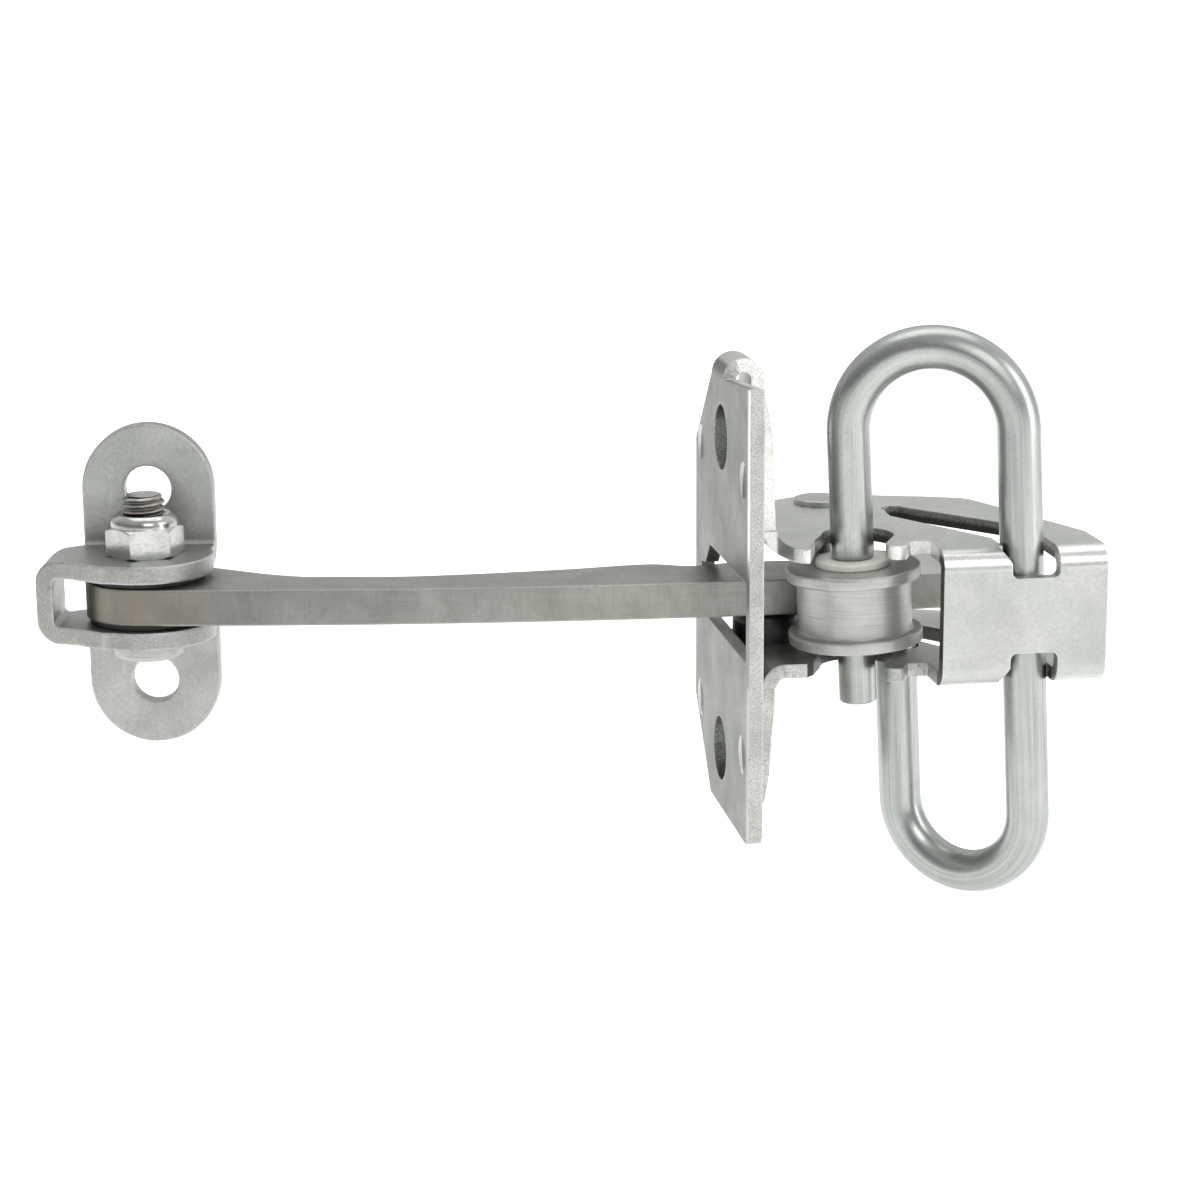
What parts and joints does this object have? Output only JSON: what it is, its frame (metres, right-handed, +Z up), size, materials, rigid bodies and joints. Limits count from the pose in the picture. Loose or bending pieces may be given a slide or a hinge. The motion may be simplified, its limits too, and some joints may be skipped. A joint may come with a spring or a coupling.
{
  "type": "vehicle door check",
  "caption": "Door check: a profiled arm on a pillar bracket slides through a folded steel housing against a roller pressed by a bent torsion rod.",
  "frame": {"origin": "midway between the two door bolt holes, on the outer face of the housing's face plate", "axes": "+X into the door along the check arm, +Y away from the sprung roller, +Z up along the door bolt line"},
  "size_m": [0.1941, 0.066, 0.1092],
  "materials": {
    "zinc_sheet": "zinc plated, satin with handling marks",
    "arm_steel": "forged and coined, dull grey with heat stains",
    "spring_steel": "drawn rod, zinc plated",
    "turned_steel": "turned, zinc plated",
    "bolt_steel": "rolled thread, dull",
    "bright_zinc": "bright zinc plated",
    "dark_steel": "hardened, dark",
    "black_plastic": "moulded, matt black",
    "white_plastic": "moulded, natural white"
  },
  "bodies": {
    "housing": {"housing": "zinc_sheet", "counter_rivet": "zinc_sheet", "guide_button": "black_plastic", "spring_rod_lower": "spring_steel"},
    "arm": {"check_arm": "arm_steel", "upper_pivot_bush": "black_plastic", "lower_pivot_bush": "black_plastic"},
    "bracket": {"pillar_bracket": "zinc_sheet", "pivot_bolt": "bolt_steel", "pivot_sleeve": "turned_steel", "lock_nut": "bright_zinc", "lock_nut_insert": "white_plastic"},
    "spring_arm": {"spring_rod_upper": "spring_steel"},
    "front_roller": {"front_roller": "turned_steel", "front_roller_bush": "white_plastic"},
    "counter_roller": {"counter_roller": "dark_steel"}
  },
  "joints": [
    {"name": "arm_travel", "type": "hinge", "parent": "housing", "child": "arm", "pos_m": [0.0235, 0.71094, 0], "axis": [0, 0, 1], "range_deg": [-0.96, 6]},
    {"name": "bracket_pivot", "type": "hinge", "parent": "arm", "child": "bracket", "pos_m": [-0.1068, 0.0248, 0], "axis": [0, 0, 1], "range_deg": [-110, 110]},
    {"name": "spring_swing", "type": "hinge", "parent": "housing", "child": "spring_arm", "pos_m": [0.0526, -0.0208, 0], "axis": [-0.0499, 0, 0.9988], "range_deg": [0, 7], "stiffness_Nm_per_rad": 20},
    {"name": "front_roller_spin", "type": "hinge", "parent": "spring_arm", "child": "front_roller", "pos_m": [0.02348, -0.0098, -0.00025], "axis": [-0.0499, 0, 0.9988], "range_deg": [-405, 66]},
    {"name": "counter_roller_spin", "type": "hinge", "parent": "housing", "child": "counter_roller", "pos_m": [0.0239, 0.0221, 0], "axis": [0, 0, 1], "continuous": true}
  ],
  "couplings": [
    {"joint": "front_roller_spin", "follows": "arm_travel", "ratio": -66.729}
  ]
}
